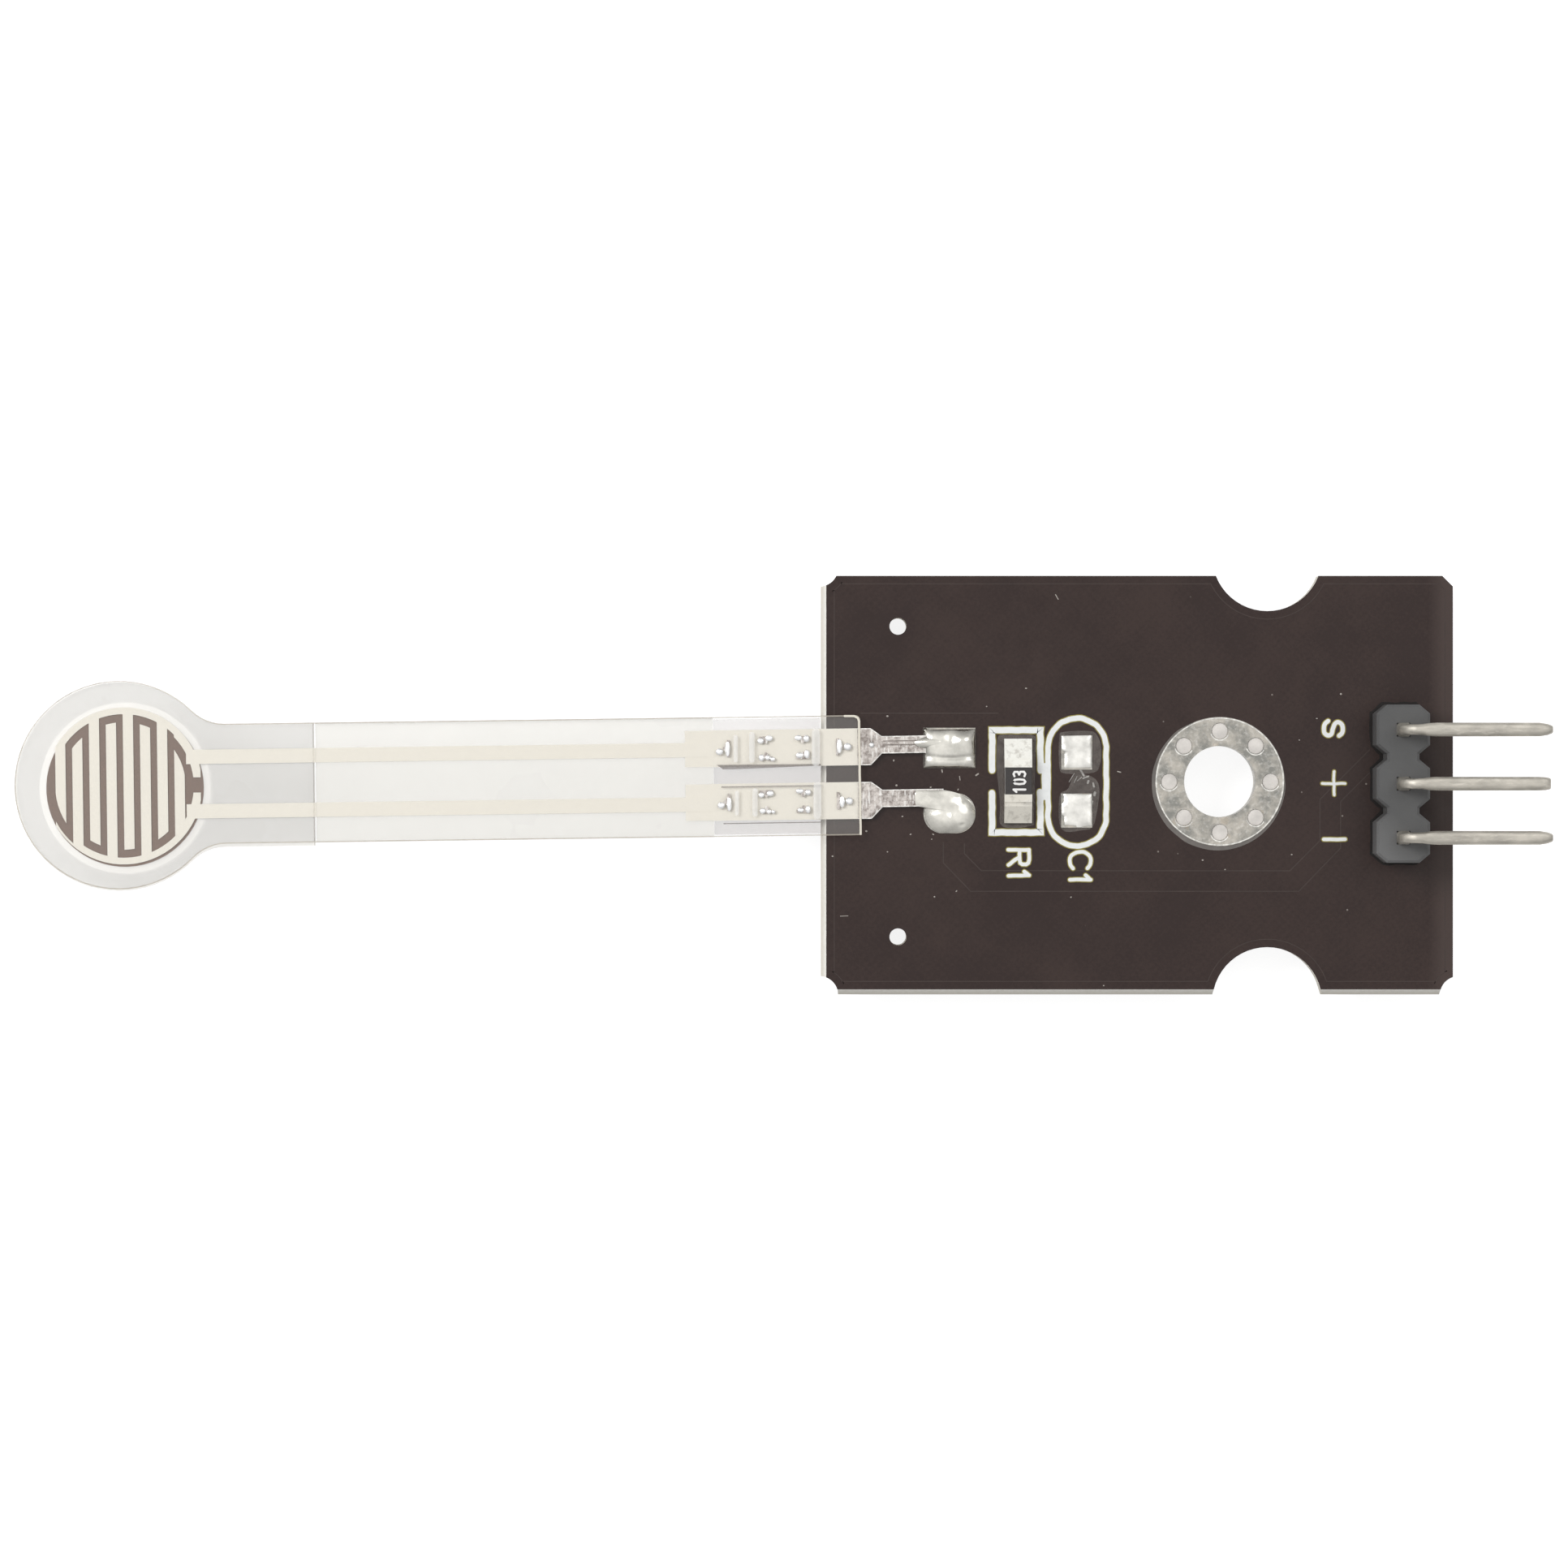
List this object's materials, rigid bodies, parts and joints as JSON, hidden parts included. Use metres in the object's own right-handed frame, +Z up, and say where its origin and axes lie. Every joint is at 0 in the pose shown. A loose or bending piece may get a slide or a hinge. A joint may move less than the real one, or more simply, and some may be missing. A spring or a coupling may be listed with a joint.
{
  "type": "thin-film pressure sensor",
  "caption": "Small dark circuit board with a pin header and a mounting hole, carrying a flat film pressure sensor with a round sensing head on a long tail.",
  "frame": {"origin": "centre of the mounting hole, on the board's underside", "axes": "+X towards the free ends of the header pins, +Y across the board to its right when looking from above along -X, +Z up out of the component side"},
  "size_m": [0.0725, 0.0199, 0.0072],
  "materials": {
    "solder_mask": "dark glossy solder mask over glass-epoxy laminate",
    "plated_copper": "tin-levelled copper, satin",
    "solder": "bright solder, slightly uneven",
    "chip_ceramic": "white ceramic with a black overcoat",
    "chip_tin": "tin-plated end caps",
    "housing_plastic": "moulded slate-grey nylon",
    "pin_metal": "tin-plated brass, drawn",
    "clear_film": "thin clear polyester film",
    "milky_film": "thin milky polyester film",
    "adhesive": "translucent adhesive",
    "ink": "printed carbon ink",
    "silver": "printed silver paste, pale and matt",
    "terminal_metal": "tin-plated phosphor bronze"
  },
  "bodies": {
    "root": {"circuit_board": "solder_mask", "mounting_ring": "plated_copper", "sensor_pads": "plated_copper", "header_lands": "plated_copper", "resistor_pads": "plated_copper", "capacitor_pads": "plated_copper", "capacitor_tinning": "solder", "chip_resistor_body": "chip_ceramic", "chip_resistor_end_caps": "chip_tin", "resistor_solder": "solder", "sensor_solder_upper": "solder", "sensor_solder_lower": "solder", "header_housing": "housing_plastic", "header_pin_signal": "pin_metal", "header_pin_supply": "pin_metal", "header_pin_ground": "pin_metal", "header_solder": "solder", "sensor_main_film": "clear_film", "sensor_head_film": "milky_film", "sensor_tail_film": "milky_film", "spacer_adhesive": "adhesive", "pressure_ink": "ink", "electrode_upper": "silver", "electrode_lower": "silver", "crimp_terminal_upper": "terminal_metal", "crimp_terminal_lower": "terminal_metal"}
  },
  "joints": []
}
